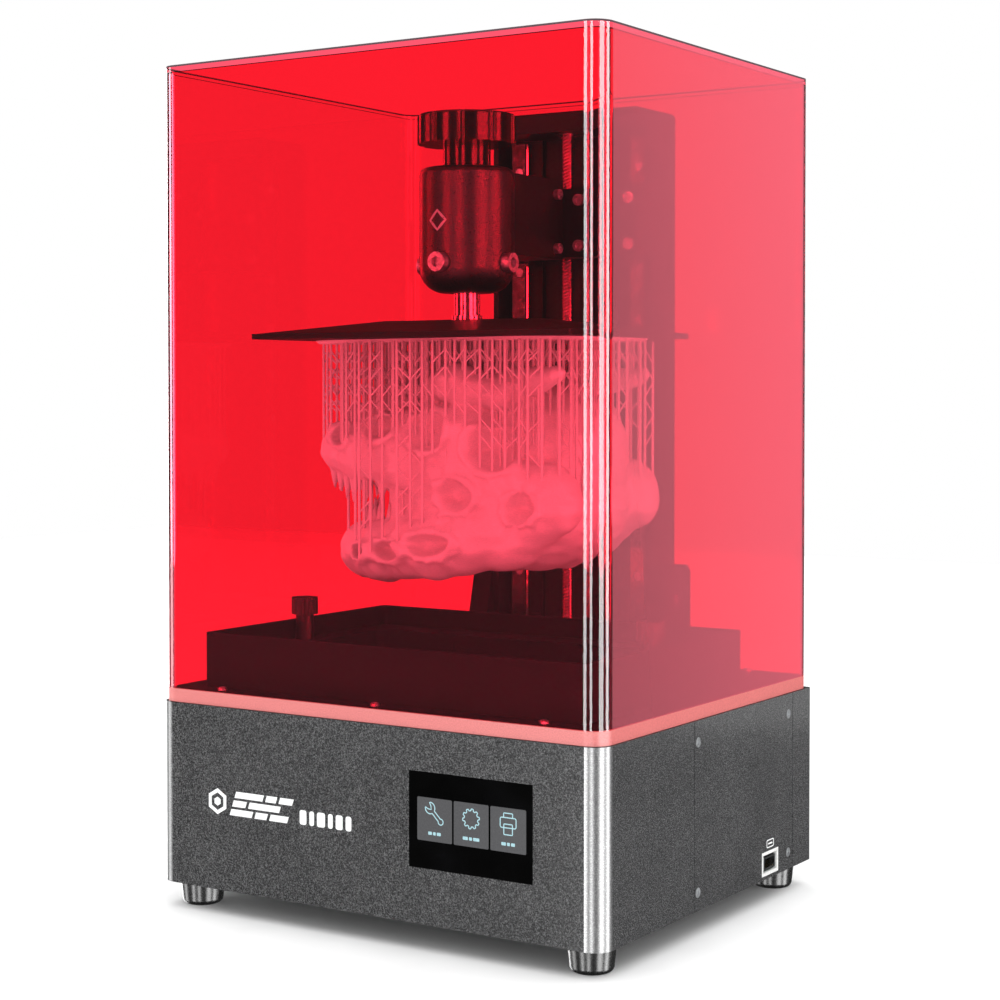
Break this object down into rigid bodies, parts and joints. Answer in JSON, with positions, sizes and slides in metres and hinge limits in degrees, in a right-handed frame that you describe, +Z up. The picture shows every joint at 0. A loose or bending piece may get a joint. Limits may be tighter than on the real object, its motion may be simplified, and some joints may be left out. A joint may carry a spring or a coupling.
{
  "type": "resin printer",
  "caption": "Desktop resin 3D printer with a tinted lift-off cover, vat, building plate on a screw-driven column, touch panel and a sample print.",
  "frame": {"origin": "on the table under the middle of the machine's footprint", "axes": "+X to the printer's right as seen from the front, -Y towards the user, +Z up"},
  "size_m": [0.28, 0.24, 0.458],
  "materials": {
    "powder_grey": "fine-texture powder coat",
    "powder_black": "fine-texture powder coat",
    "anodised_black": "satin black anodised",
    "plate_anodised": "bead-blasted, dark anodised",
    "aluminium_bare": "as machined",
    "steel_bright": "ground",
    "screw_bright": "polished",
    "acrylic_red": "polished tinted acrylic",
    "skirt_coral": "fine satin",
    "rubber_black": "moulded",
    "glass_black": "gloss black glass",
    "display_dark": "display panel",
    "plastic_white": "moulded",
    "plastic_black": "moulded",
    "circuit_board": "solder mask",
    "film_clear": "clear film",
    "brass_nut": "turned",
    "cured_resin": "cured grey-beige resin",
    "cable_black": "cable jacket"
  },
  "bodies": {
    "base": {"front_shell": "powder_grey", "side_panel_left": "powder_grey", "side_panel_right": "powder_grey", "housing_screws": "screw_bright", "rear_panel": "powder_grey", "floor_plate": "powder_grey", "feet": "rubber_black", "deck_plate": "powder_black", "screen_frame": "steel_bright", "mask_screen": "glass_black", "lamp_hood": "aluminium_bare", "lamp_board": "circuit_board", "lamp_heatsink": "aluminium_bare", "lamp_fan_frame": "plastic_black", "rear_fan_frame": "plastic_black", "mainboard": "circuit_board", "power_supply": "aluminium_bare", "usb_board": "circuit_board", "usb_socket": "steel_bright", "usb_bezel": "plastic_white", "power_inlet": "plastic_black", "switch_bezel": "plastic_black", "touch_glass": "glass_black", "touch_module": "display_dark", "base_cables": "cable_black", "motor_plate": "steel_bright", "stepper_motor": "plastic_black", "screw_bearing": "steel_bright", "column_frame": "anodised_black", "column_spine": "anodised_black", "column_cap": "anodised_black", "column_feet": "anodised_black", "linear_rails": "steel_bright", "column_screws": "screw_bright", "vat_body": "powder_black", "film_frame": "steel_bright", "release_film": "film_clear"},
    "cover": {"cover_walls": "acrylic_red", "cover_roof": "acrylic_red", "cover_skirt": "skirt_coral"},
    "carriage": {"rail_blocks": "steel_bright", "carriage_plate": "anodised_black", "carriage_screws": "screw_bright", "screw_nut": "brass_nut", "plate_arm": "anodised_black", "clamp_body": "anodised_black", "clamp_screws": "screw_bright"},
    "platform": {"ball_stud": "steel_bright", "build_plate": "plate_anodised", "print_supports": "cured_resin", "sample_print": "cured_resin"},
    "knob": {"clamp_knob": "anodised_black"},
    "screw": {"lead_screw": "steel_bright", "motor_coupler": "aluminium_bare", "motor_shaft": "steel_bright"},
    "vat_screw_left": {"thumb_screw_left": "anodised_black"},
    "vat_screw_right": {"thumb_screw_right": "anodised_black"},
    "lamp_fan": {"lamp_fan_rotor": "plastic_black"},
    "rear_fan": {"rear_fan_rotor": "plastic_black"},
    "rocker": {"power_rocker": "plastic_black"}
  },
  "joints": [
    {"name": "cover_lift", "type": "slide", "parent": "base", "child": "cover", "axis": [0, 0, 1], "range_m": [0, 0.36]},
    {"name": "z_travel", "type": "slide", "parent": "base", "child": "carriage", "axis": [0, 0, 1], "range_m": [-0.1845, 0.015], "deforming": ["print_supports", "sample_print"]},
    {"name": "screw_turn", "type": "hinge", "parent": "base", "child": "screw", "pos_m": [0, 0.084, 0.3], "axis": [0, 0, 1], "range_deg": [-720, 8360]},
    {"name": "plate_tilt", "type": "hinge", "parent": "carriage", "child": "platform", "pos_m": [0, -0.024, 0.349], "axis": [1, 0, 0], "range_deg": [-1, 1]},
    {"name": "knob_turn", "type": "hinge", "parent": "carriage", "child": "knob", "pos_m": [0, -0.024, 0.424], "axis": [0, 0, 1], "continuous": true},
    {"name": "vat_screw_left_turn", "type": "hinge", "parent": "base", "child": "vat_screw_left", "pos_m": [-0.112, -0.025, 0.158], "axis": [0, 0, 1], "continuous": true},
    {"name": "vat_screw_right_turn", "type": "hinge", "parent": "base", "child": "vat_screw_right", "pos_m": [0.112, -0.025, 0.158], "axis": [0, 0, 1], "continuous": true},
    {"name": "lamp_fan_spin", "type": "hinge", "parent": "base", "child": "lamp_fan", "pos_m": [0, -0.024, 0.024], "axis": [0, 0, 1], "continuous": true},
    {"name": "rear_fan_spin", "type": "hinge", "parent": "base", "child": "rear_fan", "pos_m": [0.072, 0.1115, 0.062], "axis": [0, 1, 0], "continuous": true},
    {"name": "rocker_press", "type": "hinge", "parent": "base", "child": "rocker", "pos_m": [-0.095, 0.1125, 0.078], "axis": [1, 0, 0], "range_deg": [-14, 0]}
  ],
  "couplings": [
    {"joint": "screw_turn", "follows": "z_travel", "rad_per_m": -785.4}
  ]
}
